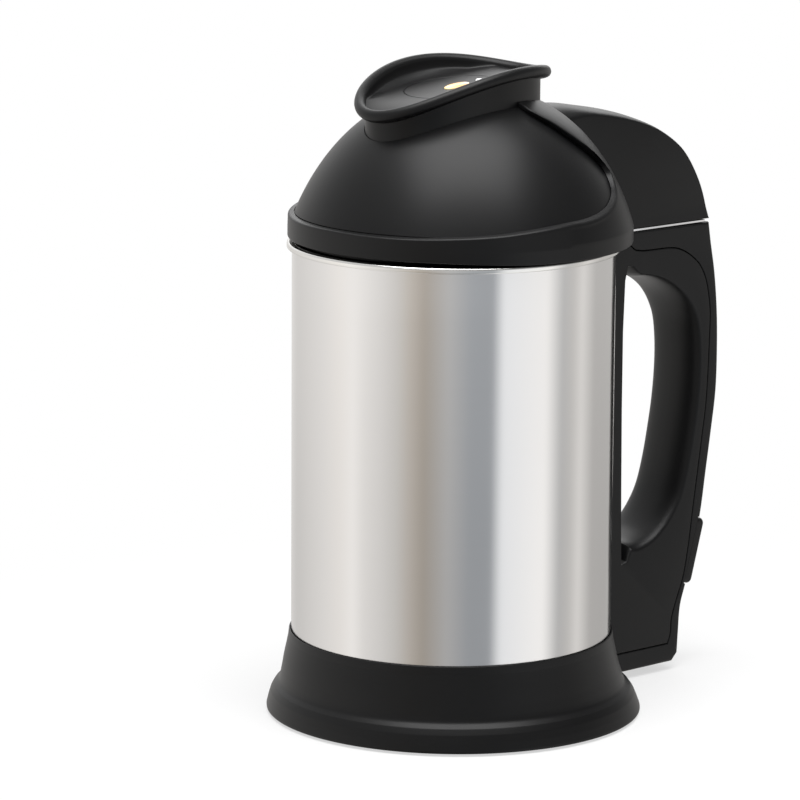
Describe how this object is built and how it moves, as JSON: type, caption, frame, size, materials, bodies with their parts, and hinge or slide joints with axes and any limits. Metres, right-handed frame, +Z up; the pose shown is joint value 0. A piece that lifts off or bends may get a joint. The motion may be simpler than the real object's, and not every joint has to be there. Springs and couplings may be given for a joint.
{
  "type": "nut milk maker",
  "caption": "Steel nut milk maker jug with a loop handle and power inlet, and a lift-off motor head with a domed hood, saddle-shaped control panel, blade and twist-off filter cup.",
  "frame": {"origin": "middle of the outline seen from above, on the lower face of the feet", "axes": "+Z up along the jug's axis, +X from the jug towards the handle, +Y to the left seen from behind the handle"},
  "size_m": [0.225, 0.1619, 0.281],
  "materials": {
    "black_plastic": "satin black moulded plastic",
    "dark_plastic": "dark insulating plastic",
    "satin_steel": "satin stainless steel, drawn upright",
    "bright_steel": "bright stainless steel",
    "silver_trim": "polished trim",
    "aluminium": "cast aluminium",
    "laminated_steel": "stacked iron laminations",
    "copper": "varnished copper windings",
    "brass": "plated contact brass",
    "rubber": "black rubber",
    "silicone": "translucent silicone",
    "inlay": "semi-gloss black foil",
    "orange_lens": "orange lens",
    "white_lens": "clear white lens",
    "board": "green solder mask"
  },
  "bodies": {
    "jug": {"base_skirt": "black_plastic", "bottom_cover": "black_plastic", "rubber_foot_1": "rubber", "rubber_foot_2": "rubber", "rubber_foot_3": "rubber", "rubber_foot_4": "rubber", "base_screw_1": "bright_steel", "base_screw_2": "bright_steel", "base_screw_3": "bright_steel", "outer_shell": "satin_steel", "inner_vessel": "bright_steel", "heater_plate": "aluminium", "heater_element": "bright_steel", "thermostat": "dark_plastic", "handle_grip": "black_plastic", "handle_spine": "black_plastic", "handle_trim": "silver_trim", "handle_screw_1": "bright_steel", "handle_screw_2": "bright_steel", "power_inlet": "black_plastic", "inlet_pin_line": "brass", "inlet_pin_neutral": "brass", "inlet_pin_earth": "brass", "coupler_socket": "dark_plastic"},
    "head": {"top_hood": "black_plastic", "front_dome": "black_plastic", "control_panel": "black_plastic", "panel_inlay": "inlay", "indicator_light": "white_lens", "button_switch": "dark_plastic", "circuit_board": "board", "head_base": "black_plastic", "lid_seal": "silicone", "motor_pod": "bright_steel", "motor_stator": "laminated_steel", "lower_bearing_bridge": "aluminium", "upper_bearing_bridge": "aluminium", "lower_bearing": "bright_steel", "upper_bearing": "bright_steel", "shaft_seal": "rubber", "overflow_probe": "bright_steel", "temperature_probe": "bright_steel", "coupler_plug": "dark_plastic", "coupler_pin_1": "brass", "coupler_pin_2": "brass", "coupler_pin_3": "brass"},
    "rotor": {"drive_shaft": "bright_steel", "rotor_core": "copper", "cooling_fan": "dark_plastic", "chopping_blade": "bright_steel", "blade_nut": "bright_steel"},
    "filter_cup": {"filter_collar": "black_plastic", "filter_mesh": "bright_steel"},
    "start_button": {"start_button": "orange_lens"}
  },
  "joints": [
    {"name": "head_lift", "type": "slide", "parent": "jug", "child": "head", "axis": [0, 0, 1], "range_m": [0, 0.18]},
    {"name": "motor_spin", "type": "hinge", "parent": "head", "child": "rotor", "pos_m": [-0.03333, 0, 0.07], "axis": [0, 0, 1], "continuous": true},
    {"name": "filter_twist", "type": "hinge", "parent": "head", "child": "filter_cup", "pos_m": [-0.03333, 0, 0.127], "axis": [0, 0, 1], "range_deg": [0, 25]},
    {"name": "start_press", "type": "slide", "parent": "head", "child": "start_button", "axis": [0.1288, 0, -0.9917], "range_m": [0, 0.001], "stiffness_N_per_m": 300, "springref_m": -0.002}
  ]
}
